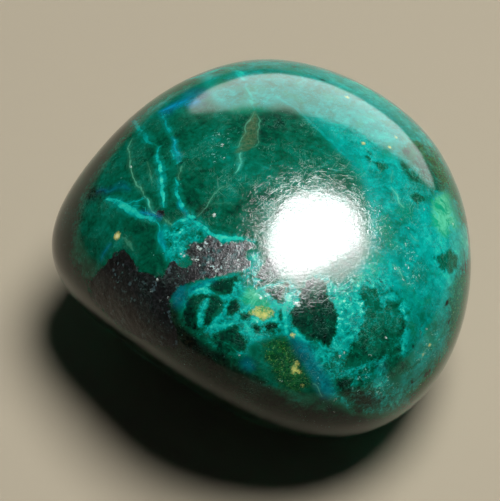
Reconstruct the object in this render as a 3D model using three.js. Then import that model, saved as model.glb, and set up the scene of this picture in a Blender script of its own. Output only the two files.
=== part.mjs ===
// A tumbled and polished chrysocolla pebble, in millimetres, +Z up.
// It is one natural solid. It rests on a small flat spot worn on its underside.
// The origin is the centre of the pebble's bounding box, level with the flat spot.

import * as THREE from 'three';
import { mergeVertices } from 'three/addons/utils/BufferGeometryUtils.js';

// Driving dimensions, in millimetres and degrees

// The worn sides that shape the pebble. Each faces a compass direction (0 is +X and 90 is +Y),
// leans up or down by its elevation, and lies at a distance from the middle of the stone.
const WORN_SIDES = [
  { name: 'crown', azimuth: 0, elevation: 90, distance: 13.4 },
  { name: 'right crown', azimuth: 0, elevation: 62, distance: 15.8 },
  { name: 'left crown', azimuth: 180, elevation: 66, distance: 14.9 },
  { name: 'back crown', azimuth: 85, elevation: 58, distance: 17.2 },
  { name: 'front crown', azimuth: 290, elevation: 50, distance: 15.2 },
  { name: 'left shoulder', azimuth: 205, elevation: 45, distance: 16.2 },
  { name: 'right', azimuth: 356, elevation: -4, distance: 17.3 },
  { name: 'back right', azimuth: 38, elevation: 20, distance: 17.6 },
  { name: 'back', azimuth: 80, elevation: 18, distance: 18.4 },
  { name: 'back left', azimuth: 136, elevation: 15, distance: 16.2 },
  { name: 'left tip', azimuth: 184, elevation: 0, distance: 22.6 },
  { name: 'front left flank', azimuth: 231, elevation: -28, distance: 13.9 },
  { name: 'front', azimuth: 284, elevation: -24, distance: 21.8 },
  { name: 'front right', azimuth: 315, elevation: -24, distance: 21.2 },
  { name: 'belly', azimuth: 0, elevation: -90, distance: 13.0 },
  { name: 'back right belly', azimuth: 45, elevation: -50, distance: 14.2 },
  { name: 'back left belly', azimuth: 135, elevation: -50, distance: 14.0 },
  { name: 'left belly', azimuth: 215, elevation: -70, distance: 13.2 },
  { name: 'front belly', azimuth: 300, elevation: -75, distance: 14.0 },
];

// How tightly the surface turns from one worn side to the next: a higher value, a sharper turn.
const EDGE_TIGHTNESS = 5;

// Shallow dips, where soft dark matrix wore away sooner than the green stone around it.
const DIPS = [
  { name: 'upper matrix band', azimuth: 240, elevation: 41, width: 4.2, depth: 0.22 },
  { name: 'left matrix band', azimuth: 214, elevation: 20, width: 4.6, depth: 0.28 },
  { name: 'back pocket', azimuth: 112, elevation: 12, width: 3.8, depth: 0.3 },
  { name: 'right pocket', azimuth: 20, elevation: -22, width: 3.4, depth: 0.24 },
];

// Height of the middle of the stone above the flat spot.
const REST_HEIGHT = 10.3;

// Each edge of the starting icosahedron is parted into this many lengths.
const EDGE_PARTS = 17;

// The unit vector that points along an azimuth and elevation, in degrees.
function direction(azimuth, elevation) {
  const turn = THREE.MathUtils.degToRad(azimuth);
  const lift = THREE.MathUtils.degToRad(elevation);
  const flat = Math.cos(lift);
  return new THREE.Vector3(flat * Math.cos(turn), flat * Math.sin(turn), Math.sin(lift));
}

const sides = WORN_SIDES.map((side) => ({
  facing: direction(side.azimuth, side.elevation),
  distance: side.distance,
}));

const dips = DIPS.map((dip) => ({
  facing: direction(dip.azimuth, dip.elevation),
  width: dip.width,
  depth: dip.depth,
}));

// Distance from the middle of the stone to the blended surface of all its worn sides.
function wornRadius(ray) {
  let sum = 0;
  for (const side of sides) {
    const towards = Math.max(ray.dot(side.facing), 0);
    sum += (towards / side.distance) ** EDGE_TIGHTNESS;
  }
  return sum ** (-1 / EDGE_TIGHTNESS);
}

// Depth of the dips along a ray, for a surface at the given radius.
function dipDepth(ray, radius) {
  let depth = 0;
  for (const dip of dips) {
    const away = radius * ray.angleTo(dip.facing);
    depth += dip.depth * Math.exp(-((away / dip.width) ** 2));
  }
  return depth;
}

// The point of the pebble's surface on a ray from the middle, with the underside cut off flat.
function surfacePoint(ray) {
  let radius = wornRadius(ray);
  radius -= dipDepth(ray, radius);
  const point = ray.clone().multiplyScalar(radius);
  if (point.z < -REST_HEIGHT) {
    point.multiplyScalar(-REST_HEIGHT / point.z);
    point.z = -REST_HEIGHT;
  }
  return point;
}

// A closed triangle mesh of the whole pebble, moved so that the origin is under its middle.
function pebbleGeometry() {
  const ball = new THREE.IcosahedronGeometry(1, EDGE_PARTS - 1);
  ball.deleteAttribute('normal');
  ball.deleteAttribute('uv');
  const geometry = mergeVertices(ball);
  const position = geometry.getAttribute('position');
  const ray = new THREE.Vector3();
  for (let i = 0; i < position.count; i += 1) {
    ray.fromBufferAttribute(position, i).normalize();
    const point = surfacePoint(ray);
    position.setXYZ(i, point.x, point.y, point.z);
  }
  geometry.computeBoundingBox();
  const middle = geometry.boundingBox.getCenter(new THREE.Vector3());
  geometry.translate(-middle.x, -middle.y, REST_HEIGHT);
  geometry.computeVertexNormals();
  return geometry;
}

// Polished deep blue-green stone.
function stoneMaterial() {
  return new THREE.MeshStandardMaterial({ color: 0x0b6e5c, roughness: 0.22, metalness: 0 });
}

const pebble = new THREE.Mesh(pebbleGeometry(), stoneMaterial());
pebble.name = 'chrysocolla_pebble';

const chrysocolla = new THREE.Group();
chrysocolla.add(pebble);

export default chrysocolla;
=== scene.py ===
import math

import bpy
import numpy as np
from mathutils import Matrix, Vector, noise


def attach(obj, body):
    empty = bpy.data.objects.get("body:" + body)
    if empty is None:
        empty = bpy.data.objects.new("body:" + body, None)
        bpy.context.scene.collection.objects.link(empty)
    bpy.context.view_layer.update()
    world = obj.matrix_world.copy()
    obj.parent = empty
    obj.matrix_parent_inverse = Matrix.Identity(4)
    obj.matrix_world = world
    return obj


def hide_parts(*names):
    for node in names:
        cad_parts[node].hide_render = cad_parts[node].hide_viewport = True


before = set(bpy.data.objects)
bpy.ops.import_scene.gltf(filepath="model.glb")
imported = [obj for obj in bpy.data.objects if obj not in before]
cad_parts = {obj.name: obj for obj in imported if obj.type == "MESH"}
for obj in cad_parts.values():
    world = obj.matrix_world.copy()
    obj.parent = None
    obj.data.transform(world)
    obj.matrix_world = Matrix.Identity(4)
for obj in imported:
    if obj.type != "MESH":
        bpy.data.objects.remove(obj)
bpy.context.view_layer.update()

STONE_NODE = "chrysocolla_pebble"
MM = 0.001

# The shape of the pebble, in millimetres from the middle of the stone.
# Worn sides: azimuth, elevation and distance. The same sides shape the solid.
WORN_SIDES = {
    "crown": (0, 90, 13.4),
    "right crown": (0, 62, 15.8),
    "left crown": (180, 66, 14.9),
    "back crown": (85, 58, 17.2),
    "front crown": (290, 50, 15.2),
    "left shoulder": (205, 45, 16.2),
    "right": (356, -4, 17.3),
    "back right": (38, 20, 17.6),
    "back": (80, 18, 18.4),
    "back left": (136, 15, 16.2),
    "left tip": (184, 0, 22.6),
    "front left flank": (231, -28, 13.9),
    "front": (284, -24, 21.8),
    "front right": (315, -24, 21.2),
    "belly": (0, -90, 13.0),
    "back right belly": (45, -50, 14.2),
    "back left belly": (135, -50, 14.0),
    "left belly": (215, -70, 13.2),
    "front belly": (300, -75, 14.0),
}
EDGE_TIGHTNESS = 5

# Shallow dips: azimuth, elevation, width and depth.
DIPS = {
    "upper matrix band": (240, 41, 4.2, 0.22),
    "left matrix band": (214, 20, 4.6, 0.28),
    "back pocket": (112, 12, 3.8, 0.3),
    "right pocket": (20, -22, 3.4, 0.24),
}
REST_HEIGHT = 10.3
GRID = 128

# The photograph's view of the pebble.
PHOTO_SIZE = (500, 501)
PIXEL = 0.082
MIDDLE_PIXEL = (268, 243)
CAMERA_ELEVATION = 50
CAMERA_DISTANCE = 220.0

# Markings, as pixels of the photograph's frame. Patches are outlines of one kind of stone, except the two
# long brown bands along the left and lower rims, which are painted shade with a painted brown reflection.
PATCHES = {
    "teal": [
        [(198, 60), (208, 92), (226, 110), (256, 112), (284, 106), (303, 114), (321, 129), (335, 146),
         (349, 160), (362, 185), (368, 215), (366, 250), (354, 272), (345, 292), (385, 288), (405, 302),
         (412, 330), (408, 358), (398, 378), (406, 400), (426, 398), (444, 376), (458, 346), (466, 316),
         (476, 288), (482, 240), (472, 195), (450, 150), (420, 108), (380, 76), (330, 52), (280, 44),
         (240, 46), (210, 54)],
    ],
    "ground": [
        [(182, 302), (187, 290), (197, 282), (208, 279), (229, 274), (244, 268), (247, 254), (258, 250),
         (264, 262), (276, 286), (290, 278), (300, 288), (310, 276), (326, 274), (342, 284), (352, 276),
         (368, 278), (384, 280), (398, 292), (410, 306), (413, 330), (410, 352), (398, 366), (388, 372),
         (398, 386), (418, 380), (424, 392), (408, 408), (384, 416), (352, 414), (332, 402), (322, 388),
         (306, 352), (292, 338), (274, 338), (252, 346), (246, 358), (222, 354), (202, 344), (188, 328),
         (182, 314)],
        [(163, 222), (172, 226), (180, 222), (190, 219), (200, 226), (207, 233), (203, 240), (196, 242),
         (190, 248), (188, 256), (182, 262), (174, 266), (168, 262), (163, 250), (160, 236)],
    ],
    "clast": [
        [(209, 289), (211, 283), (221, 280), (231, 279), (237, 277), (234, 285), (232, 291), (227, 296),
         (220, 296), (213, 294)],
        [(186, 303), (193, 295), (203, 293), (208, 296), (202, 304), (198, 311), (199, 318), (198, 326),
         (192, 329), (187, 326), (184, 317), (184, 310)],
        [(207, 296), (216, 295), (222, 298), (225, 304), (221, 312), (216, 319), (209, 326), (205, 325),
         (204, 318), (207, 308), (209, 300)],
        [(254, 289), (261, 280), (257, 276), (264, 264), (269, 257), (279, 264), (279, 275), (275, 282),
         (266, 284), (260, 286)],
        [(266, 290), (273, 288), (280, 285), (284, 282), (290, 284), (288, 292), (288, 298), (284, 305),
         (280, 305), (276, 302), (271, 295)],
        [(301, 292), (304, 286), (309, 280), (318, 277), (327, 285), (328, 299), (334, 306), (338, 317),
         (337, 331), (332, 340), (328, 346), (324, 346), (322, 342), (313, 342), (305, 338), (297, 331),
         (292, 325), (292, 318), (290, 311), (295, 307), (299, 302)],
        [(224, 329), (238, 323), (240, 334), (248, 345), (242, 352), (226, 351), (214, 344), (216, 334)],
        [(241, 314), (246, 313), (250, 317), (249, 320), (243, 320), (240, 318)],
        [(251, 325), (256, 323), (261, 328), (259, 332), (254, 331)],
        [(265, 324), (271, 322), (279, 324), (277, 329), (271, 331), (266, 329)],
        [(280, 308), (282, 310), (282, 318), (280, 320), (279, 314)],
        [(229, 302), (232, 300), (237, 303), (239, 308), (236, 313), (230, 316), (227, 313)],
        [(337, 380), (344, 379), (350, 382), (348, 386), (340, 386)],
    ],
    "deep": [
        [(361, 287), (374, 288), (379, 295), (381, 305), (387, 309), (393, 301), (397, 303), (401, 312),
         (404, 322), (404, 336), (400, 349), (393, 357), (383, 358), (373, 360), (362, 366), (349, 373),
         (343, 370), (349, 355), (351, 345), (360, 336), (362, 323), (364, 310), (361, 298)],
        [(434, 256), (440, 256), (444, 253), (449, 250), (455, 252), (458, 259), (456, 268), (450, 275),
         (444, 271), (438, 264)],
        [(402, 163), (410, 169), (421, 180), (416, 182), (405, 174)],
        [(409, 398), (420, 384), (432, 372), (440, 362), (444, 366), (436, 380), (424, 394), (414, 402)],
        [(386, 360), (400, 356), (410, 364), (404, 374), (390, 372)],
        [(412, 195), (417, 192), (423, 197), (421, 202), (414, 201)],
        [(376, 163), (384, 163), (386, 168), (379, 169)],
        [(367, 152), (370, 152), (371, 160), (367, 160)],
        [(404, 148), (414, 142), (424, 150), (438, 166), (446, 186), (440, 191), (430, 180), (418, 168),
         (408, 158)],
    ],
    "black": [
        [(180, 251), (189, 249), (192, 243), (202, 243), (207, 237), (216, 238), (221, 243), (231, 243),
         (245, 241), (257, 246), (248, 250), (245, 256), (251, 265), (242, 269), (228, 274), (217, 276),
         (207, 279), (196, 281), (187, 283), (177, 288), (171, 298), (169, 312), (176, 332), (176, 348),
         (150, 342), (126, 330), (104, 312), (90, 294), (94, 276), (108, 262), (120, 249), (128, 255),
         (134, 262), (138, 271), (150, 274), (162, 277), (168, 265), (173, 260), (180, 266), (190, 266),
         (191, 258)],
        [(156, 212), (160, 208), (164, 211), (163, 216), (158, 217)],
    ],
    "blue": [
        [(241, 363), (248, 359), (254, 364), (252, 371), (244, 370)],
        [(159, 113), (167, 107), (179, 100), (185, 92), (196, 89), (208, 91), (204, 99), (198, 106),
         (188, 104), (176, 109), (166, 115)],
        [(290, 340), (302, 340), (312, 350), (320, 366), (330, 380), (334, 396), (322, 396), (312, 382),
         (304, 366), (296, 352)],
        [(189, 288), (199, 284), (211, 279), (212, 282), (200, 288), (191, 292)],
        [(180, 284), (186, 288), (184, 304), (176, 306), (172, 296)],
    ],
    "olive": [
        [(276, 339), (288, 340), (293, 354), (304, 368), (312, 382), (300, 391), (282, 390), (274, 374),
         (266, 358), (262, 346)],
        [(450, 292), (462, 270), (476, 262), (478, 300), (464, 340), (446, 372), (424, 398), (418, 388),
         (436, 362), (448, 334)],
        [(411, 140), (424, 143), (438, 153), (450, 172), (460, 194), (470, 220), (464, 224), (454, 204),
         (444, 186), (432, 166), (420, 150)],
    ],
    "tan": [
        [(254, 112), (258, 122), (257, 136), (253, 147), (244, 151), (235, 152), (240, 144), (245, 129)],
    ],
    "ochre": [
        [(249, 311), (255, 308), (262, 307), (267, 310), (273, 308), (273, 315), (268, 319), (261, 319),
         (255, 316)],
        [(291, 367), (296, 367), (297, 372), (292, 373)],
    ],
    "mint": [
        [(436, 196), (447, 195), (450, 205), (456, 221), (455, 229), (450, 226), (447, 236), (441, 234),
         (435, 225), (432, 212)],
        [(246, 290), (254, 289), (266, 299), (270, 306), (262, 307), (250, 306), (243, 299)],
    ],
    "frost": [
        [(205, 150), (206, 138), (214, 130), (224, 130), (228, 144), (225, 158), (214, 163)],
        [(390, 240), (400, 236), (412, 246), (422, 268), (420, 282), (408, 284), (398, 272)],
        [(412, 350), (424, 334), (438, 330), (442, 344), (432, 360), (416, 366)],
        [(340, 372), (364, 366), (384, 376), (400, 386), (380, 398), (352, 390)],
        [(330, 270), (350, 268), (372, 276), (364, 290), (344, 296), (332, 284)],
    ],
    "brown": [
        [(82, 198), (93, 187), (105, 190), (100, 198), (90, 202)],
        [(342, 388), (350, 388), (352, 394), (346, 397)],
        [(352, 395), (365, 393), (380, 398), (378, 405), (366, 408), (355, 403)],
        [(378, 363), (388, 364), (386, 370), (379, 369)],
        [(463, 262), (470, 264), (470, 270), (464, 271)],
        [(199, 208), (206, 206), (208, 212), (201, 216), (196, 214)],
        # These two long bands along the left and lower rims are painted shade with a painted brown
        # reflection, not brown stone
        [(58, 252), (60, 226), (70, 196), (88, 164), (110, 132), (128, 110), (142, 100), (146, 106),
         (130, 126), (110, 152), (94, 180), (82, 206), (76, 232), (72, 250)],
        [(160, 300), (180, 322), (200, 346), (228, 362), (262, 380), (290, 400), (330, 414), (370, 424),
         (372, 446), (320, 446), (250, 430), (190, 396), (130, 356), (80, 310), (50, 270), (46, 236),
         (62, 200), (78, 176), (84, 186), (72, 216), (68, 246), (84, 280), (110, 316), (140, 336)],
    ],
}

# Veins: points along each, its greatest width in pixels, and how strong it shows.
VEINS = {
    "turquoise_one": [
        ([(105, 198), (116, 202), (126, 206), (134, 211), (142, 215)], 8.0, 1.0),
        ([(158, 146), (158, 157), (160, 170), (162, 183), (162, 191), (164, 203), (163, 208)], 4.6, 1.0),
        ([(189, 219), (178, 222), (171, 226)], 4.6, 0.9),
        ([(180, 81), (200, 76), (219, 69), (231, 68), (240, 73), (245, 81)], 7.0, 0.8),
        ([(207, 298), (203, 307), (201, 317), (202, 328)], 4.0, 0.9),
        ([(253, 291), (262, 288), (273, 285), (284, 280)], 3.6, 0.9),
        ([(291, 326), (299, 335), (308, 341), (320, 345), (330, 348)], 3.0, 0.9),
        ([(276, 95), (285, 101), (294, 107), (303, 115), (317, 128), (330, 139), (342, 152),
          (350, 161)], 4.0, 0.4),
        ([(240, 153), (240, 161), (238, 168), (235, 174)], 3.4, 0.9),
        ([(338, 378), (350, 372), (362, 368), (372, 364)], 2.6, 0.6),
    ],
    "turquoise_two": [
        ([(176, 177), (176, 186), (177, 194), (181, 201), (184, 207), (188, 213), (194, 219),
          (201, 225), (208, 231), (215, 236), (230, 239), (244, 240), (256, 242)], 5.2, 1.0),
        ([(132, 117), (139, 128), (146, 137), (153, 144), (158, 149)], 5.0, 0.6),
        ([(160, 226), (160, 233), (161, 243), (164, 253), (166, 262)], 4.6, 0.7),
        ([(188, 292), (198, 290), (209, 292), (222, 298), (230, 297)], 3.4, 0.9),
        ([(288, 286), (287, 298), (284, 310), (285, 324), (291, 338)], 5.6, 0.9),
        ([(236, 314), (244, 322), (252, 334), (262, 340)], 4.0, 0.8),
        ([(246, 83), (248, 92), (252, 101), (255, 110)], 3.6, 0.75),
        ([(171, 149), (174, 156), (178, 164)], 2.2, 0.8),
        ([(203, 332), (213, 327), (224, 326), (240, 322)], 5.0, 0.8),
        ([(386, 352), (396, 346), (404, 338)], 1.8, 0.4),
    ],
    "turquoise_three": [
        ([(226, 304), (220, 315), (213, 326)], 5.0, 0.9),
        ([(182, 246), (190, 240), (200, 241)], 2.4, 0.7),
        ([(378, 330), (376, 320), (382, 313), (391, 314), (396, 322)], 1.6, 0.45),
        ([(124, 204), (133, 202), (141, 200), (147, 198)], 2.8, 0.8),
        ([(144, 196), (150, 204), (152, 211), (157, 215)], 3.2, 0.9),
        ([(130, 208), (140, 215), (147, 218), (153, 221), (161, 227)], 4.8, 0.9),
        ([(262, 307), (274, 305), (284, 306)], 3.6, 0.8),
        ([(241, 322), (252, 320), (264, 321), (280, 322)], 3.0, 0.7),
        ([(232, 296), (240, 300), (243, 310)], 3.4, 0.8),
        ([(313, 376), (320, 384), (328, 394)], 1.8, 0.7),
        ([(333, 352), (344, 344), (356, 332)], 4.0, 0.6),
        ([(181, 180), (190, 185), (200, 191), (206, 196)], 1.2, 0.35),
        ([(110, 128), (104, 142), (98, 156), (94, 170)], 3.0, 0.3),
        ([(138, 118), (150, 110), (164, 102), (178, 92)], 5.0, 0.35),
        ([(160, 112), (166, 124), (170, 133), (174, 142), (176, 151), (180, 163)], 3.2, 0.6),
        ([(216, 340), (226, 342), (238, 352), (252, 356)], 2.4, 0.45),
    ],
    "pale": [
        ([(133, 137), (130, 146), (130, 157), (131, 167), (135, 178), (141, 188), (146, 199)], 1.9, 0.65),
        ([(146, 197), (151, 205), (152, 211), (157, 215)], 2.0, 0.8),
        ([(121, 238), (128, 243), (134, 251)], 6.0, 0.3),
        ([(182, 165), (180, 173), (179, 181)], 1.6, 0.7),
        ([(254, 111), (245, 129), (238, 148)], 1.8, 0.45),
        ([(256, 113), (259, 124), (258, 137), (253, 149)], 1.6, 0.45),
        ([(230, 185), (222, 188), (214, 195), (208, 202), (203, 208), (196, 218)], 1.8, 0.45),
        ([(210, 207), (216, 203), (226, 203), (236, 208)], 1.3, 0.25),
        ([(241, 152), (240, 160), (238, 168), (235, 174)], 3.4, 0.75),
        ([(147, 160), (150, 172), (153, 184)], 1.2, 0.4),
        ([(246, 289), (252, 294), (259, 300)], 2.0, 0.7),
        ([(161, 216), (167, 220), (173, 226)], 2.0, 0.55),
        ([(391, 186), (397, 196), (405, 208)], 1.8, 0.8),
        ([(393, 262), (397, 268), (399, 274), (402, 280)], 1.6, 0.8),
        ([(390, 183), (391, 176), (394, 170)], 1.1, 0.5),
        ([(312, 383), (318, 388), (324, 397)], 1.4, 0.6),
        ([(410, 232), (414, 238), (420, 242)], 1.1, 0.5),
        ([(430, 345), (424, 352), (420, 360)], 1.5, 0.6),
    ],
    "blue_vein": [
        ([(160, 112), (166, 124), (170, 133)], 3.6, 0.12),
        ([(171, 136), (174, 142), (176, 151), (180, 162)], 2.0, 0.5),
        ([(161, 230), (162, 240), (164, 250)], 1.8, 0.6),
        ([(178, 200), (183, 209), (188, 215)], 1.8, 0.5),
        ([(140, 211), (148, 213), (154, 216), (162, 220)], 4.2, 0.75),
        ([(158, 113), (168, 108), (176, 105), (184, 101), (191, 96)], 7.5, 0.9),
        ([(186, 107), (193, 103), (200, 100)], 6.0, 0.8),
        ([(96, 191), (108, 190), (120, 186), (132, 189)], 5.0, 0.25),
        ([(99, 260), (105, 251), (112, 243)], 4.0, 0.4),
    ],
}

# Soft lighter and darker spots over the side in view, partly the stone's own tone and partly painted shade,
# darkest along the lower rim: pixel place, reach in pixels, and how much lighter or darker.
TONE_AND_SHADE_SPOTS = [
    (300, 88, 38, -0.14), (232, 78, 16, -0.12), (440, 240, 34, 0.07), (350, 300, 24, 0.16),
    (186, 130, 36, 0.04), (118, 165, 28, -0.02), (350, 402, 34, -0.25), (446, 336, 26, -0.14),
    (100, 214, 24, 0.1), (140, 236, 20, 0.05), (225, 168, 30, 0.06), (250, 370, 30, -0.05),
    (265, 353, 11, 0.14), (214, 350, 26, -0.16), (300, 146, 30, 0.05), (415, 300, 26, 0.04),
    (420, 380, 26, -0.14), (140, 190, 20, 0.06), (380, 236, 16, -0.06), (260, 300, 22, 0.06),
    (421, 274, 11, -0.14), (358, 352, 15, -0.1), (386, 322, 9, 0.05), (400, 215, 20, -0.06),
    (350, 174, 20, 0.05), (245, 98, 26, -0.12), (200, 78, 13, 0.1), (428, 176, 20, -0.14),
    (240, 56, 26, 0.06), (320, 56, 40, 0.08), (400, 96, 24, 0.1), (350, 402, 20, 0.06),
    (199, 235, 4, -0.2), (172, 244, 4, -0.15), (194, 196, 12, -0.1), (226, 80, 12, -0.06),
    (196, 338, 14, -0.18), (222, 356, 14, -0.1),
]

# How much brighter than a plain white surface the main light makes the stone's top
LIGHT_LEVEL = 1.2

# The polish wears most round the bright reflection, where the same mask also gives the matrix grains a
# painted grey sheen, and its flecks and the pale scratches a painted glint; the haze is where its scratches
# are deepest.
# Each has a middle, and the distances from it at which it ends and is whole, in pixels.
WORN_AND_SHEEN_MIDDLE = (322, 236)
WORN_AND_SHEEN_REACH = (150, 60)
HAZE_MIDDLE = (300, 238)
HAZE_REACH = (88, 52)

# How much the polish wears elsewhere, from 0 to 1, where the mask gives neither painted sheen nor painted
# glint
WORN_AND_SHEEN_LEAST = 0.3

# Spots: pixel place, radius in pixels.
SPOTS = {
    "white_spot": [
        (297, 304, 2.0), (300, 305, 1.4), (294, 303, 1.2), (200, 249, 1.4), (197, 260, 1.4),
        (200, 265, 1.1), (181, 254, 1.1), (184, 256, 1.0), (216, 271, 1.0), (238, 260, 0.9),
        (226, 262, 0.9), (197, 247, 1.0), (193, 259, 0.9), (157, 280, 1.1), (150, 291, 0.9),
        (160, 301, 0.9), (167, 298, 0.8), (410, 259, 0.9), (405, 263, 0.9), (408, 267, 1.0),
        (417, 278, 0.8), (401, 219, 0.8), (408, 228, 0.8), (406, 244, 0.8), (392, 245, 0.8),
        (424, 209, 0.8), (427, 329, 0.8), (420, 333, 0.8), (411, 392, 1.0), (420, 385, 1.0),
        (222, 145, 1.1), (219, 134, 0.8), (224, 158, 0.8), (131, 167, 1.0), (345, 353, 0.8),
        (281, 381, 0.9), (261, 298, 1.2), (340, 356, 0.9), (389, 377, 0.8), (335, 400, 0.8),
        (335, 412, 0.8), (214, 215, 1.4), (453, 224, 1.2), (386, 338, 0.8), (370, 355, 0.8),
        (231, 355, 0.9), (239, 355, 1.0), (395, 268, 0.8), (399, 272, 0.8), (403, 279, 0.8),
    ],
    "yellow_spot": [
        (117, 236, 3.6), (347, 97, 2.1), (364, 143, 1.3), (390, 147, 1.3), (293, 335, 1.8),
        (297, 364, 1.6), (294, 370, 1.9), (300, 372, 1.3), (430, 345, 1.4), (423, 355, 1.4),
        (258, 314, 2.1), (265, 315, 2.4), (302, 386, 1.0), (396, 137, 1.3),
    ],
    "dark_spot": [
        (381, 282, 1.8), (181, 163, 1.8), (323, 80, 2.0), (196, 219, 1.3), (426, 375, 3.0),
        (430, 371, 2.2), (414, 347, 2.0), (412, 383, 2.2), (447, 303, 2.4), (449, 322, 2.2),
        (382, 345, 1.6), (331, 372, 1.6), (300, 385, 1.6),
    ],
}

# Patches on the sides that the photograph doesn't show, from noise: the size of its lumps in millimetres,
# the number that sets where they lie, how steeply it counts, and how rare the patches are.
HIDDEN_PATCHES = {
    "teal": (9.0, 1, 5.0, 0.3),
    "ground": (7.0, 2, 4.0, 0.5),
    "black": (6.0, 3, 4.0, 1.3),
    "blue": (5.0, 4, 3.0, 1.4),
    "olive": (5.0, 5, 3.0, 1.4),
    "ochre": (2.5, 6, 2.0, 1.4),
    "mint": (3.5, 7, 2.4, 1.3),
    "brown": (6.5, 8, 3.0, 1.6),
    "deep": (4.0, 9, 3.0, 1.2),
    "frost": (3.0, 10, 3.0, 1.2),
}

# The relief, in millimetres. Each noise has the size of its lumps and the number that sets where they lie.
WAVES = (4.0, 11)
WAVE_DEPTH = 0.012
GRAINS = (0.42, 12)
GRAIN_DEPTH = 0.07
MATRIX_DEPTH = 0.02
MATRIX_EDGE = 0.15

# The edge of each kind of patch: how soft and how ragged it is in millimetres, how much grit crumbles it,
# and how strongly the patch shows.
EDGES = {
    "teal": (0.6, 1.9, 0.0, 1.0),
    "teal clouds": (0.4, 1.5, 0.0, 1.0),
    "ground": (0.45, 1.6, 0.0, 1.0),
    "ground cells": (0.3, 1.3, 0.0, 1.0),
    "deep": (0.2, 0.7, 0.0, 0.8),
    "clast": (0.19, 0.7, 0.0, 0.92),
    "blue": (0.45, 1.4, 0.0, 0.65),
    "olive": (0.4, 1.3, 0.0, 0.7),
    "tan": (0.18, 0.5, 0.0, 0.48),
    "brown": (0.5, 1.4, 0.0, 0.85),
    "mint": (0.3, 2.0, 0.0, 0.75),
    "black": (0.12, 0.9, 0.0, 1.0),
    "ochre": (0.16, 1.7, 0.5, 0.85),
    "frost": (0.4, 1.5, 0.0, 1.0),
    "dark_spot": (0.12, 0.6, 0.0, 1.0),
    "yellow_spot": (0.12, 0.25, 0.5, 0.9),
    "white_spot": (0.06, 0.12, 0.5, 0.9),
}

# The tone of each kind of stone, from 0, dark, to 1, pale, and how far clouds, mottling, grains and threads
# move it.
STONE_TONES = {
    "plain": (0.29, 0.45, 0.5, 0.2, 0.0),
    "teal": (0.59, 0.4, 0.6, 0.28, 0.07),
    "ground": (0.55, 0.0, 1.2, 0.65, 0.18),
    "clast": (0.1, 0.3, 0.4, 0.2, 0.1),
    "deep": (0.22, 0.3, 0.6, 0.3, 0.14),
    "vein": (0.82, 0.0, 0.4, 0.3, 0.0),
}

# Colours, 0 to 255, as they look in the photograph's light: the run along the tone, then the others.
TONE_COLOURS = [
    (0.0, (4, 20, 15)), (0.12, (2, 50, 36)), (0.27, (1, 88, 62)), (0.42, (2, 117, 94)),
    (0.55, (1, 146, 133)), (0.68, (4, 176, 164)), (0.82, (30, 208, 184)),
    (0.92, (84, 226, 198)), (1.0, (160, 243, 220)),
]
COLOURS = {
    "green cloud": (4, 134, 92),
    "dark blue": (0, 94, 112),
    "blue": (4, 138, 160),
    "dark olive": (8, 60, 26),
    "olive": (30, 104, 40),
    "olive fleck": (140, 186, 96),
    "green tan": (44, 100, 66),
    "tan": (118, 128, 88),
    "green ochre": (70, 168, 96),
    "ochre": (206, 208, 112),
    "pale ochre": (238, 232, 150),
    "green mint": (20, 178, 126),
    "mint": (106, 225, 172),
    "dark brown": (11, 15, 9),
    "brown": (38, 33, 22),
    "black": (3, 4, 5),
    "dim grain": (40, 41, 43),
    # Painted sheen: the grey of the matrix grains round the bright reflection
    "dusty grain": (94, 96, 99),
    "dim fleck": (64, 88, 92),
    # Painted glint: the flecks round the bright reflection
    "bright fleck": (190, 224, 222),
    "turquoise dust": (26, 122, 120),
    "blue vein": (2, 156, 204),
    "pale vein": (110, 210, 170),
    "dark spot": (8, 46, 36),
    "yellow spot": (226, 226, 124),
    "yellow middle": (250, 244, 188),
    "white spot": (222, 246, 238),
    # Pale scratches, painted stronger round the bright reflection as a painted glint
    "scratch": (150, 225, 205),
    "frost": (140, 222, 212),
}

# Scratches: how they lie, as turns in degrees, their width in millimetres, and how much longer they are.
SCRATCH_TURNS = [(8, 0, 5), (-6, 10, 37), (10, -8, 66), (5, 12, 98), (-9, 4, 127), (4, -10, 158)]
SCRATCH_WIDTH = 0.075
SCRATCH_LENGTH = 17

# The gloss of the polish. The index is low, so that the reflected floor doesn't wash out the stone's rim.
REFRACTIVE_INDEX = 1.34
POLISHED_ROUGHNESS = 0.1
MATRIX_ROUGHNESS = 0.31
BUMP_DEPTH = 0.01

# Lamps: azimuth, elevation, distance, width and height in metres, power in watts, turn in degrees, and
# whether the lamp shows only in the gloss.
LAMPS = {
    "key": (20, 74, 0.6, (0.34, 0.3), 4.7, 0, False),
    "hot_middle": (21, 75, 0.59, (0.32, 0.31), 13.5, 0, True),
    "low_glow": (-4, 70.5, 0.61, (0.32, 0.3), 4.0, 0, True),
    "panel": (75.5, 19, 0.6, (0.88, 0.34), 3.5, 14, True),
}
ROOM_COLOUR = (0.9, 0.95, 1.0, 1)
ROOM_STRENGTH = 0.016
FLOOR_COLOUR = (0.4, 0.35, 0.262, 1)
FLOOR_ROUGHNESS = 0.9
FLOOR_REACH = 3.0


def direction(azimuth, elevation):
    """The unit vector that points along an azimuth and elevation, in degrees."""
    turn = math.radians(azimuth)
    lift = math.radians(elevation)
    level = math.cos(lift)
    return np.array([level * math.cos(turn), level * math.sin(turn), math.sin(lift)])


def unit(vectors):
    """Vectors at length one."""
    return vectors / np.linalg.norm(vectors, axis=-1, keepdims=True)


def step(value, low, high):
    """0 below low and 1 above high, with a smooth turn between them. Low may be above high."""
    part = np.clip((value - low) / (high - low), 0, 1)
    return part * part * (3 - 2 * part)


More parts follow.
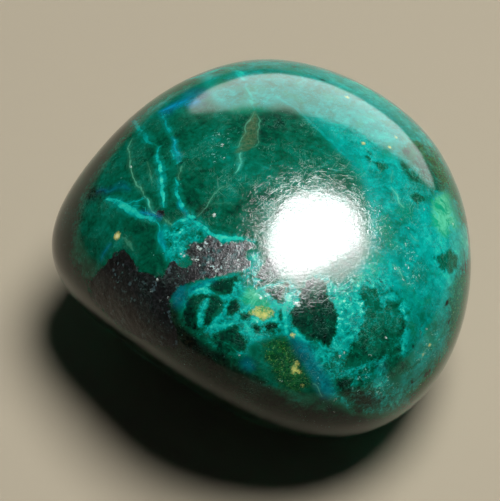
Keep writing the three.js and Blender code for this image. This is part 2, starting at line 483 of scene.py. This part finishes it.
def surface_radius(rays):
    """Distance from the middle of the stone to its surface along unit rays, before the foot is cut."""
    total = np.zeros(len(rays))
    for azimuth, elevation, distance in WORN_SIDES.values():
        towards = np.maximum(rays @ direction(azimuth, elevation), 0)
        total += (towards / distance) ** EDGE_TIGHTNESS
    radius = total ** (-1 / EDGE_TIGHTNESS)
    worn_and_sheen = radius.copy()
    for azimuth, elevation, width, depth in DIPS.values():
        angle = np.arccos(np.clip(rays @ direction(azimuth, elevation), -1, 1))
        radius -= depth * np.exp(-((worn_and_sheen * angle / width) ** 2))
    return radius


def cube_sphere():
    """Unit rays and square faces of a sphere made from a cube's six gridded sides."""
    side = np.arange(-GRID // 2, GRID // 2 + 1) * 2
    a, b = np.meshgrid(side, side, indexing="ij")
    cells = np.arange(GRID)
    places = {}
    points = []
    faces = []
    for axis in range(3):
        for sign in (-1, 1):
            corner = np.zeros(a.shape + (3,), int)
            corner[..., axis] = sign * GRID
            corner[..., (axis + 1) % 3] = a
            corner[..., (axis + 2) % 3] = b
            index = np.zeros(a.shape, int)
            for i, j in np.ndindex(a.shape):
                key = tuple(corner[i, j])
                if key not in places:
                    places[key] = len(points)
                    points.append(key)
                index[i, j] = places[key]
            i, j = np.meshgrid(cells, cells, indexing="ij")
            quad = [index[i, j], index[i + 1, j], index[i + 1, j + 1], index[i, j + 1]]
            if sign < 0:
                quad.reverse()
            faces.append(np.stack(quad, -1).reshape(-1, 4))
    even = np.tan(np.array(points) / GRID * math.pi / 4)
    return unit(even), np.concatenate(faces)


def vertex_normals(points, faces):
    """Outward unit normals, averaged from the faces round each point."""
    across = np.cross(points[faces[:, 2]] - points[faces[:, 0]], points[faces[:, 3]] - points[faces[:, 1]])
    normals = np.zeros_like(points)
    for corner in range(4):
        np.add.at(normals, faces[:, corner], across)
    return unit(normals)


# The camera's place and axes, from the middle of the stone, in millimetres.
TOWARDS_CAMERA = direction(270, CAMERA_ELEVATION)
RIGHT = np.array([1.0, 0.0, 0.0])
UP = direction(90, 90 - CAMERA_ELEVATION)
PICTURE_MIDDLE = (PHOTO_SIZE[0] / 2, PHOTO_SIZE[1] / 2)
AIM = (RIGHT * (PICTURE_MIDDLE[0] - MIDDLE_PIXEL[0]) - UP * (PICTURE_MIDDLE[1] - MIDDLE_PIXEL[1])) * PIXEL
CAMERA_PLACE = AIM + TOWARDS_CAMERA * CAMERA_DISTANCE


def to_pixels(points):
    """Where points appear in the photograph's frame."""
    offset = points - CAMERA_PLACE
    spread = CAMERA_DISTANCE / -(offset @ TOWARDS_CAMERA) / PIXEL
    across = PICTURE_MIDDLE[0] + offset @ RIGHT * spread
    down = PICTURE_MIDDLE[1] - offset @ UP * spread
    return np.stack([across, down], -1)


# The search for the stone along a camera ray: how far ahead of its middle it starts, in millimetres, how
# many moves it makes, and what share of the way that is left each move takes.
SEARCH_AHEAD = 30.0
SEARCH_MOVES = 90
SEARCH_SHARE = 0.6


def onto_stone(pixels):
    """The points of the stone's surface that show at pixels of the photograph's frame."""
    pixels = np.asarray(pixels, float)
    across = (pixels[:, :1] - PICTURE_MIDDLE[0]) * PIXEL * RIGHT
    down = (pixels[:, 1:] - PICTURE_MIDDLE[1]) * PIXEL * UP
    rays = unit(AIM + across - down - CAMERA_PLACE)
    reach = np.full(len(rays), CAMERA_DISTANCE - SEARCH_AHEAD)
    for _ in range(SEARCH_MOVES):
        points = CAMERA_PLACE + rays * reach[:, None]
        away = np.linalg.norm(points, axis=1)
        reach += SEARCH_SHARE * (away - surface_radius(points / away[:, None]))
    return CAMERA_PLACE + rays * reach[:, None]


def rounded(points, closed):
    """A smooth run of points through the given ones, four to each step."""
    points = np.asarray(points, float)
    if closed:
        padded = np.concatenate([points[-1:], points, points[:2]])
    else:
        padded = np.concatenate([points[:1], points, points[-1:]])
    before, start, end, after = padded[:-3], padded[1:-2], padded[2:-1], padded[3:]
    run = []
    for t in (0, 0.25, 0.5, 0.75):
        curve = (2 * start + (end - before) * t + (2 * before - 5 * start + 4 * end - after) * t ** 2
                 + (3 * start - before - 3 * end + after) * t ** 3) / 2
        run.append(curve)
    run = np.stack(run, 1).reshape(-1, 2)
    return run if closed else np.concatenate([run, points[-1:]])


# The greatest distance that a patch's field holds, in millimetres
FAR = 2.5

# Veins, in millimetres: how far round one its field is worked out, how long its ends taper, with the power
# that rounds them, and the half width below which it doesn't show.
VEIN_REACH = 1.2
VEIN_TAPER = 1.2
VEIN_TIP = 0.6
VEIN_LEAST = 0.012


def patch_distance(pixels, outlines):
    """Millimetres to the nearest edge of a kind of patch, less than zero inside it."""
    field = np.full(len(pixels), FAR)
    reach = FAR / PIXEL
    for outline in outlines:
        run = rounded(outline, closed=True)
        near = np.all((pixels > run.min(0) - reach) & (pixels < run.max(0) + reach), axis=1)
        spots = pixels[near]
        away = np.full(len(spots), np.inf)
        inside = np.zeros(len(spots), bool)
        for a, b in zip(run, np.roll(run, -1, axis=0)):
            along = b - a
            part = np.clip((spots - a) @ along / max(along @ along, 1e-9), 0, 1)
            away = np.minimum(away, np.linalg.norm(spots - a - part[:, None] * along, axis=1))
            spans = (a[1] > spots[:, 1]) != (b[1] > spots[:, 1])
            if a[1] != b[1]:
                crossing = a[0] + (spots[:, 1] - a[1]) * along[0] / along[1]
                inside ^= spans & (spots[:, 0] < crossing)
        signed = np.where(inside, -away, away) * PIXEL
        field[near] = np.minimum(field[near], signed)
    return field


def vein_field(points, normals, veins):
    """For each point, the side distance to the nearest vein, the vein's half width, and its strength."""
    field = np.zeros((len(points), 3))
    nearest = np.full(len(points), np.inf)
    for path, width, strength in veins:
        line = onto_stone(rounded(path, closed=False))
        beside = (points > line.min(0) - VEIN_REACH) & (points < line.max(0) + VEIN_REACH)
        near = np.flatnonzero(np.all(beside, axis=1))
        spots = points[near]
        lengths = np.linalg.norm(np.diff(line, axis=0), axis=1)
        starts = np.concatenate([[0], np.cumsum(lengths)])
        away = np.full(len(spots), np.inf)
        side = np.zeros(len(spots))
        where = np.zeros(len(spots))
        for k in range(len(lengths)):
            along = line[k + 1] - line[k]
            part = np.clip((spots - line[k]) @ along / (along @ along), 0, 1)
            offset = spots - line[k] - part[:, None] * along
            reached = np.linalg.norm(offset, axis=1)
            closer = reached < away
            away[closer] = reached[closer]
            turn = np.einsum("ij,ij->i", np.cross(along, normals[near]), offset)
            side[closer] = np.sign(turn)[closer]
            where[closer] = (starts[k] + part * lengths[k])[closer]
        whole = starts[-1]
        from_end = np.minimum(where, whole - where)
        taper = np.minimum(from_end / min(VEIN_TAPER, whole / 2), 1) ** VEIN_TIP
        half = width * PIXEL / 2
        half = half * taper * step(away, half * 2.4 + 0.25, half * 1.8 + 0.12)
        chosen = (away < nearest[near]) & (half > 0)
        target = near[chosen]
        nearest[target] = away[chosen]
        field[target, 0] = (away * side)[chosen]
        field[target, 1] = half[chosen]
        field[target, 2] = strength
    return field


def spot_distance(points, spots):
    """Millimetres to the edge of the nearest spot, less than zero inside it."""
    centres = onto_stone([spot[:2] for spot in spots])
    field = np.full(len(points), FAR)
    for centre, spot in zip(centres, spots):
        away = np.linalg.norm(points - centre, axis=1) - spot[2] * PIXEL
        field = np.minimum(field, away)
    return field


def wander(points, size, seed):
    """A smooth wandering value, about -1 to 1, whose lumps are about size millimetres across."""
    shift = Vector((seed * 17.3, seed * -9.1, seed * 5.7))
    return np.array([noise.fractal(Vector(p) / size + shift, 0.9, 2.0, 3) for p in points])


def hidden_patch(points, name):
    """The field of a kind of patch on the sides that the photograph doesn't show."""
    if name not in HIDDEN_PATCHES:
        return np.full(len(points), FAR)
    size, seed, steepness, rarity = HIDDEN_PATCHES[name]
    return wander(points, size, seed) * steepness + rarity


def markings(points, normals):
    """Every marking as a field over the points, painted where the photograph shows the stone."""
    towards = unit(CAMERA_PLACE - points)
    facing = np.einsum("ij,ij->i", normals, towards)
    seen = step(facing, 0.0, 0.1)
    pixels = to_pixels(points)
    from_worn_and_sheen = np.linalg.norm(pixels - WORN_AND_SHEEN_MIDDLE, axis=1)
    from_haze = np.linalg.norm(pixels - HAZE_MIDDLE, axis=1)
    # The mask round the bright reflection is the polish's wear for the bumps, and a painted sheen and glint
    # for the colour
    fields = {
        "seen": seen,
        "worn_and_sheen": WORN_AND_SHEEN_LEAST + (1 - WORN_AND_SHEEN_LEAST) * seen * step(from_worn_and_sheen, *WORN_AND_SHEEN_REACH),
        "haze": seen * step(from_haze, *HAZE_REACH),
    }
    # The tone spots, partly painted shade, are laid only on the side in view
    tone = np.zeros(len(points))
    for x, y, reach, change in TONE_AND_SHADE_SPOTS:
        away = np.linalg.norm(pixels - (x, y), axis=1)
        tone += change * np.exp(-((away / reach) ** 2))
    fields["tone"] = tone * seen
    for name, outlines in PATCHES.items():
        drawn = patch_distance(pixels, outlines)
        field = drawn * seen + hidden_patch(points, name) * (1 - seen)
        fields[name] = np.clip(field, -FAR, FAR)
    for name, spots in SPOTS.items():
        fields[name] = spot_distance(points, spots)
    for name, veins in VEINS.items():
        fields[name] = vein_field(points, normals, veins)
    return fields


def relief(points, fields):
    """How deep wear has taken the surface below the pebble's form: grains in the matrix, and faint waves."""
    waves = WAVE_DEPTH * (1 + wander(points, *WAVES))
    in_black = step(fields["black"], MATRIX_EDGE, -MATRIX_EDGE)
    grains = np.clip(0.5 + 0.5 * wander(points, *GRAINS), 0, 1)
    return waves + in_black * (MATRIX_DEPTH + GRAIN_DEPTH * grains)


def new_object(name, data):
    """A new object in the scene."""
    made = bpy.data.objects.new(name, data)
    bpy.context.scene.collection.objects.link(made)
    return made


def build_stone():
    """The whole pebble as one fine mesh with its markings stored on its points.

    It also returns the way from the middle of the stone to the part's frame, in millimetres.
    """
    rays, faces = cube_sphere()
    radius = surface_radius(rays)
    points = rays * radius[:, None]
    middle = (points.min(0) + points.max(0)) / 2
    shift = np.array([-middle[0], -middle[1], REST_HEIGHT])
    normals = vertex_normals(points, faces)
    fields = markings(points, normals)
    points = rays * (radius - relief(points, fields))[:, None]
    below = points[:, 2] < -REST_HEIGHT
    points[below] *= (-REST_HEIGHT / points[below, 2])[:, None]
    mesh = bpy.data.meshes.new("chrysocolla_stone")
    mesh.from_pydata(((points + shift) * MM).tolist(), [], faces.tolist())
    mesh.shade_smooth()
    for name, values in fields.items():
        if values.ndim == 1:
            mesh.attributes.new(name, "FLOAT", "POINT").data.foreach_set("value", values.astype(np.float32))
        else:
            attribute = mesh.attributes.new(name, "FLOAT_VECTOR", "POINT")
            attribute.data.foreach_set("vector", values.astype(np.float32).ravel())
    return new_object("chrysocolla_stone", mesh), shift


def lit(colour):
    """The share of light that a colour gives back, from how it looks in the photograph's light."""
    shares = []
    for value in colour:
        value /= 255
        linear = value / 12.92 if value <= 0.04045 else ((value + 0.055) / 1.055) ** 2.4
        shares.append(linear / LIGHT_LEVEL)
    return (*shares, 1.0)


class Graph:
    """Short ways to add shader nodes. A value is a number, a colour or another node's output."""

    def __init__(self, material):
        material.use_nodes = True
        self.tree = material.node_tree
        self.tree.nodes.clear()

    def add(self, kind, inputs=(), **settings):
        node = self.tree.nodes.new(kind)
        for name, value in settings.items():
            setattr(node, name, value)
        for key, value in dict(inputs).items():
            if isinstance(value, bpy.types.NodeSocket):
                self.tree.links.new(value, node.inputs[key])
            else:
                node.inputs[key].default_value = value
        return node

    def math(self, operation, a, b=0.0):
        return self.add("ShaderNodeMath", {0: a, 1: b}, operation=operation).outputs[0]

    def plus(self, a, b):
        return self.math("ADD", a, b)

    def times(self, a, b):
        return self.math("MULTIPLY", a, b)

    def step(self, value, low, high):
        """0 at low and 1 at high, with a smooth turn between them."""
        inputs = {"Value": value, "From Min": low, "From Max": high}
        return self.add("ShaderNodeMapRange", inputs, interpolation_type="SMOOTHSTEP").outputs[0]

    def scaled(self, value, low, high):
        """A value from 0 to 1, moved to run from low to high."""
        return self.add("ShaderNodeMapRange", {"Value": value, "To Min": low, "To Max": high}).outputs[0]

    def blend(self, factor, a, b):
        """Number a at factor 0 and number b at factor 1."""
        return self.add("ShaderNodeMix", {0: factor, 2: a, 3: b}, data_type="FLOAT").outputs[0]

    def varied(self, level, *parts):
        """A level, moved up and down by each pair of a noise and a reach."""
        for noise_value, reach in parts:
            level = self.plus(level, self.times(self.plus(noise_value, -0.5), reach))
        return level

    def ramp(self, value, stops):
        """A run of colours along a value."""
        node = self.add("ShaderNodeValToRGB", {0: value})
        points = node.color_ramp.elements
        while len(points) < len(stops):
            points.new(0.5)
        for point, (position, colour) in zip(points, stops):
            point.position = position
            point.color = lit(colour)
        return node.outputs[0]

    def mix(self, factor, a, b):
        """Colour a at factor 0 and colour b at factor 1. A colour may be a name."""
        a, b = (lit(COLOURS[c]) if isinstance(c, str) else c for c in (a, b))
        return self.add("ShaderNodeMix", {0: factor, 6: a, 7: b}, data_type="RGBA").outputs[2]

    def field(self, name, part="Fac"):
        """A field from the stone's points, as one number or, as its part Vector, three."""
        return self.add("ShaderNodeAttribute", attribute_name=name).outputs[part]

    def place(self, turn=(0, 0, 0), stretch=(1, 1, 1)):
        """The place on the stone in millimetres, on axes that are turned by degrees and stretched."""
        spot = self.add("ShaderNodeTexCoord").outputs["Object"]
        turned = [math.radians(angle) for angle in turn]
        inputs = {"Vector": spot, "Rotation": turned, "Scale": [s * MM for s in stretch]}
        return self.add("ShaderNodeMapping", inputs, vector_type="TEXTURE").outputs[0]

    def noise(self, place, size, detail=2.0, roughness=0.5, warp=0.0):
        """Cloudy noise whose lumps are about size millimetres across, about 0 to 1."""
        inputs = {"Vector": place, "Scale": 1 / size, "Detail": detail}
        inputs.update({"Roughness": roughness, "Distortion": warp})
        return self.add("ShaderNodeTexNoise", inputs).outputs["Fac"]

    def bent(self, place, size, reach):
        """The place pushed about by noise, up to about reach millimetres."""
        swirl = self.add("ShaderNodeTexNoise", {"Vector": place, "Scale": 1 / size}).outputs["Color"]
        kind = "ShaderNodeVectorMath"
        push = self.add(kind, {0: swirl, 1: (0.5, 0.5, 0.5)}, operation="SUBTRACT").outputs[0]
        far = self.add(kind, {0: push, "Scale": reach * 2}, operation="SCALE").outputs[0]
        return self.add(kind, {0: place, 1: far}, operation="ADD").outputs[0]

    def cells(self, place, size, feature="F1"):
        """Random cells about size millimetres across."""
        inputs = {"Vector": place, "Scale": 1 / size}
        return self.add("ShaderNodeTexVoronoi", inputs, feature=feature)

    def surface(self, inputs):
        """The shader of the whole surface."""
        shader = self.add("ShaderNodeBsdfPrincipled", inputs)
        self.add("ShaderNodeOutputMaterial", {"Surface": shader.outputs[0]})


class StoneGraph(Graph):
    """The stone's own noises, and its patches and veins from the fields on its points."""

    def __init__(self, material):
        super().__init__(material)
        self.spot = self.place()
        self.cloud = self.noise(self.spot, 4.2, detail=3, roughness=0.55)
        self.mottle = self.noise(self.spot, 1.0, detail=5, roughness=0.62, warp=0.8)
        self.grain = self.noise(self.spot, 0.26, detail=3, roughness=0.7)
        self.grit = self.noise(self.spot, 0.15, roughness=0.7)
        fibres = self.place(turn=(20, 0, 72), stretch=(1, 9, 1))
        self.silk = self.noise(fibres, 0.28)
        self.wobble = self.varied(0.0, (self.mottle, 0.9), (self.grain, 0.45))
        bends = self.noise(self.spot, 1.3, roughness=0.45)
        self.sway = self.varied(0.0, (bends, 0.85), (self.grain, 0.12))
        breaks = self.noise(self.spot, 0.8, detail=3, roughness=0.6)
        self.gaps = self.scaled(self.step(breaks, 0.34, 0.56), 0.45, 1.0)
        wisps = self.noise(self.spot, 0.9, detail=4, roughness=0.55, warp=0.4)
        thread = self.math("ABSOLUTE", self.plus(wisps, -0.5))
        self.threads = self.times(self.step(thread, 0.045, 0.005), self.step(self.grain, 0.36, 0.56))
        self.worn_and_sheen = self.field("worn_and_sheen")
        self.haze = self.field("haze")

    def patch(self, name, edge=None):
        """How strongly a kind of patch shows, with the kind's own edge or another named one."""
        soft, ragged, crumbly, share = EDGES[edge or name]
        border = self.varied(self.field(name), (self.grit, crumbly))
        inside = self.step(self.plus(border, self.times(self.wobble, ragged)), soft, -soft)
        return self.times(inside, share)

    def vein(self, name, soft=0.08, glow=0.33):
        """How strongly a group of veins shows, with a faint glow along their sides."""
        parts = self.add("ShaderNodeSeparateXYZ", {0: self.field(name, "Vector")}).outputs
        side = self.math("ABSOLUTE", self.plus(parts[0], self.sway))
        half = self.times(parts[1], self.scaled(self.mottle, 0.3, 1.35))
        body = self.step(self.math("SUBTRACT", half, side), -soft, soft)
        beside = self.step(side, self.plus(self.times(half, 2.4), 0.26), half)
        there = self.math("GREATER_THAN", parts[1], VEIN_LEAST)
        shown = self.math("MAXIMUM", self.times(body, self.gaps), self.times(beside, glow))
        return self.times(self.times(shown, there), parts[2])

    def stone_tone(self, name):
        """The tone of a kind of stone, from dark to pale."""
        level, clouds, mottling, grains, threads = STONE_TONES[name]
        tone = self.varied(level, (self.cloud, clouds), (self.mottle, mottling), (self.grain, grains))
        return self.plus(tone, self.times(self.threads, threads))


def whole_tone(g):
    """One tone from dark to pale over the whole stone, which gives each place its green or turquoise."""
    tone = g.varied(g.stone_tone("plain"), (g.silk, 0.2))
    for name in ("teal", "ground"):
        tone = g.blend(g.patch(name), tone, g.stone_tone(name))
    # The tone spots add painted shade as well as the stone's own tone
    tone = g.plus(tone, g.field("tone"))

    # On the sides that the photograph doesn't show, cells part the stone into clasts and veins
    unseen = g.math("SUBTRACT", 1.0, g.field("seen"))
    bent = g.bent(g.spot, 2.5, reach=1.2)
    edges = g.cells(bent, 3.4, "DISTANCE_TO_EDGE").outputs["Distance"]
    wide_edges = g.cells(bent, 8.5, "DISTANCE_TO_EDGE").outputs["Distance"]
    in_cell = g.times(g.times(g.patch("ground", "ground cells"), unseen), g.step(edges, 0.04, 0.12))
    tone = g.blend(in_cell, tone, g.stone_tone("clast"))

    for name in ("deep", "clast"):
        tone = g.blend(g.patch(name), tone, g.stone_tone(name))
    bright = g.stone_tone("vein")
    for name in ("turquoise_one", "turquoise_two", "turquoise_three"):
        tone = g.blend(g.vein(name), tone, bright)
    wide_vein = g.times(g.times(unseen, g.step(wide_edges, 0.03, 0.008)), g.gaps)
    return g.blend(wide_vein, tone, bright)


def matrix_colour(g):
    """The black matrix: dark grains with pale flecks, and round the bright reflection a painted grey sheen
    on the grains, a painted glint on the flecks, and turquoise dust.
    """
    cells = g.cells(g.bent(g.spot, 0.5, reach=0.14), 0.2).outputs["Color"]
    shade = g.add("ShaderNodeSeparateColor", {0: cells}).outputs[0]
    # Painted sheen: the grains turn grey round the bright reflection
    grain_sheen = g.mix(g.step(g.worn_and_sheen, 0.3, 0.6), "dim grain", "dusty grain")
    colour = g.mix(g.times(g.step(shade, 0.25, 0.95), g.step(g.grit, 0.34, 0.58)), "black", grain_sheen)
    clusters = g.noise(g.spot, 1.2, detail=3, roughness=0.6)
    flecks = g.times(g.step(shade, 0.82, 0.87), g.step(clusters, 0.5, 0.58))
    # Painted glint: the flecks turn bright round the bright reflection
    colour = g.mix(flecks, colour, g.mix(g.step(g.worn_and_sheen, 0.3, 0.6), "dim fleck", "bright fleck"))
    drifts = g.noise(g.spot, 0.8, detail=4, roughness=0.65)
    dust = g.times(g.step(drifts, 0.5, 0.68), g.step(g.worn_and_sheen, 0.3, 0.5))
    return g.mix(g.times(dust, 0.5), colour, "turquoise dust")


def patch_colours(g):
    """The colours of the patches that aren't plain green or turquoise, in the order that they overlie."""
    olive = g.mix(g.step(g.grain, 0.4, 0.62), "dark olive", "olive")
    ochre = g.mix(g.step(g.grain, 0.42, 0.6), "green ochre", "ochre")
    return {
        "blue": g.mix(g.step(g.mottle, 0.35, 0.65), "dark blue", "blue"),
        "olive": g.mix(g.times(g.step(g.grit, 0.58, 0.68), 0.55), olive, "olive fleck"),
        "tan": g.mix(g.step(g.grain, 0.3, 0.75), "green tan", "tan"),
        # Brown: small brown patches of the stone, and the painted shade and painted brown reflection of the
        # rim bands
        "brown": g.mix(g.step(g.grain, 0.4, 0.7), "dark brown", "brown"),
        "mint": g.mix(g.step(g.mottle, 0.42, 0.6), "green mint", "mint"),
        "black": matrix_colour(g),
        "ochre": g.mix(g.times(g.step(g.grit, 0.56, 0.7), 0.8), ochre, "pale ochre"),
    }


def stone_colour(g):
    """The colour of the stone, without its scratches."""
    colour = g.ramp(whole_tone(g), TONE_COLOURS)
    billows = g.noise(g.spot, 1.9, detail=3, roughness=0.55, warp=0.6)
    green_cloud = g.times(g.step(billows, 0.52, 0.66), g.patch("teal", "teal clouds"))
    colour = g.mix(g.times(green_cloud, 0.4), colour, "green cloud")
    for name, patch_colour in patch_colours(g).items():
        colour = g.mix(g.patch(name), colour, patch_colour)
    colour = g.mix(g.times(g.vein("blue_vein", soft=0.14), 0.85), colour, "blue vein")
    colour = g.mix(g.times(g.vein("pale", soft=0.06, glow=0.15), 0.8), colour, "pale vein")
    colour = g.mix(g.patch("dark_spot"), colour, "dark spot")
    colour = g.mix(g.patch("yellow_spot"), colour, "yellow spot")
    pale_middle = g.step(g.field("yellow_spot"), -0.05, -0.2)
    colour = g.mix(g.times(pale_middle, 0.8), colour, "yellow middle")
    return g.mix(g.patch("white_spot"), colour, "white spot")


def fine_scratches(g):
    """Fine scratches: long thin streaks of noise that lie several ways, and show most in the haze."""
    scratches = 0.0
    faintest = g.scaled(g.haze, 0.62, 0.6)
    plainest = g.scaled(g.haze, 0.76, 0.73)
    for turn in SCRATCH_TURNS:
        lengthwise = g.place(turn, stretch=(1, SCRATCH_LENGTH, 1))
        curved = g.bent(lengthwise, 0.6, reach=0.1)
        streak = g.step(g.noise(curved, SCRATCH_WIDTH, detail=1), faintest, plainest)
        scratches = g.math("MAXIMUM", scratches, streak)
    return scratches


def surface_marks(g, colour, scratches):
    """The colour with pale scratches, specks and frost over it; the scratches are painted paler round the
    bright reflection as a painted glint.
    """
    marks = g.times(scratches, g.step(g.noise(g.spot, 2.2), 0.4, 0.7))
    # Real pale scratches with a painted glint: they show more strongly round the bright reflection
    colour = g.mix(g.times(marks, g.scaled(g.worn_and_sheen, 0.04, 0.3)), colour, "scratch")
    swarms = g.noise(g.spot, 1.3, detail=3, roughness=0.6)
    specks = g.times(g.step(g.grit, 0.67, 0.74), g.step(swarms, 0.52, 0.62))
    needles = g.noise(g.bent(g.spot, 0.5, reach=0.15), 0.2, detail=3, roughness=0.7)
    frost = g.times(g.step(needles, 0.57, 0.65), g.patch("frost"))
    frost = g.times(frost, g.step(g.noise(g.spot, 0.9), 0.42, 0.58))
    return g.mix(g.times(g.math("MAXIMUM", specks, frost), 0.75), colour, "frost")


def stone_material():
    """Polished chrysocolla: its patches, veins, grains, specks and fine scratches."""
    material = bpy.data.materials.new("polished_chrysocolla")
    g = StoneGraph(material)
    scratches = fine_scratches(g)
    colour = surface_marks(g, stone_colour(g), scratches)

    in_black = g.patch("black")
    peel = g.times(g.noise(g.spot, 0.24), g.scaled(g.haze, 0.26, 0.42))
    grooves = g.times(scratches, g.scaled(g.haze, -0.14, -0.36))
    pits = g.times(in_black, g.times(g.grit, 4.0))
    height = g.plus(g.times(g.plus(peel, grooves), g.worn_and_sheen), pits)
    inputs = {"Height": height, "Strength": 1.0, "Distance": BUMP_DEPTH * MM}
    bump = g.add("ShaderNodeBump", inputs).outputs[0]
    dulled = g.times(scratches, g.scaled(g.haze, 0.09, 0.14))
    roughness = g.plus(dulled, g.scaled(in_black, POLISHED_ROUGHNESS, MATRIX_ROUGHNESS))

    g.surface({"Base Color": colour, "Roughness": roughness, "Normal": bump, "IOR": REFRACTIVE_INDEX})
    return material


def plain_material(name, colour, roughness):
    """A plain matt surface."""
    material = bpy.data.materials.new(name)
    Graph(material).surface({"Base Color": colour, "Roughness": roughness, "Specular IOR Level": 0.0})
    return material


def make_floor():
    """A plain pale floor, level with the stone's flat spot."""
    mesh = bpy.data.meshes.new("floor")
    corners = [(x * FLOOR_REACH, y * FLOOR_REACH, 0) for x, y in ((-1, -1), (1, -1), (1, 1), (-1, 1))]
    mesh.from_pydata(corners, [], [(0, 1, 2, 3)])
    mesh.materials.append(plain_material("pale_floor", FLOOR_COLOUR, FLOOR_ROUGHNESS))
    new_object("floor", mesh)


def make_lamp(name, azimuth, elevation, distance, size, power, roll, only_gloss):
    """A soft round lamp that shines at the stone from an azimuth and elevation."""
    lamp = bpy.data.lights.new(name, "AREA")
    lamp.shape = "ELLIPSE"
    lamp.size, lamp.size_y = size
    lamp.energy = power
    lamp_object = new_object(name, lamp)
    away = Vector(direction(azimuth, elevation))
    lamp_object.location = away * distance + Vector((0, 0, REST_HEIGHT * MM))
    lamp_object.rotation_euler = away.to_track_quat("Z", "Y").to_euler()
    lamp_object.rotation_euler.rotate_axis("Z", math.radians(roll))
    lamp_object.visible_camera = False
    lamp_object.visible_diffuse = not only_gloss


def make_lights():
    """One main lamp high on the right, lamps for the bright reflections, and a dim room."""
    for name, values in LAMPS.items():
        make_lamp(name, *values)
    world = bpy.data.worlds.new("room")
    world.use_nodes = True
    background = world.node_tree.nodes["Background"]
    background.inputs["Color"].default_value = ROOM_COLOUR
    background.inputs["Strength"].default_value = ROOM_STRENGTH
    bpy.context.scene.world = world


def make_camera(shift):
    """The photograph's view: from the front, looking down at the stone."""
    camera = bpy.data.cameras.new("camera")
    camera.sensor_fit = "HORIZONTAL"
    camera.sensor_width = 36.0
    camera.lens = camera.sensor_width * CAMERA_DISTANCE / (PHOTO_SIZE[0] * PIXEL)
    camera.clip_start = 0.01
    camera_object = new_object("camera", camera)
    camera_object.location = Vector((CAMERA_PLACE + shift) * MM)
    camera_object.rotation_euler = Vector(TOWARDS_CAMERA).to_track_quat("Z", "Y").to_euler()
    bpy.context.scene.camera = camera_object


def main():
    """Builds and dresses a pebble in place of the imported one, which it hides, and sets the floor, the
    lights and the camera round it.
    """
    stone, shift = build_stone()
    stone.data.materials.append(stone_material())
    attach(stone, "root")
    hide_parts(STONE_NODE)
    make_floor()
    make_lights()
    make_camera(shift)
    bpy.context.scene.view_settings.view_transform = "Standard"


main()
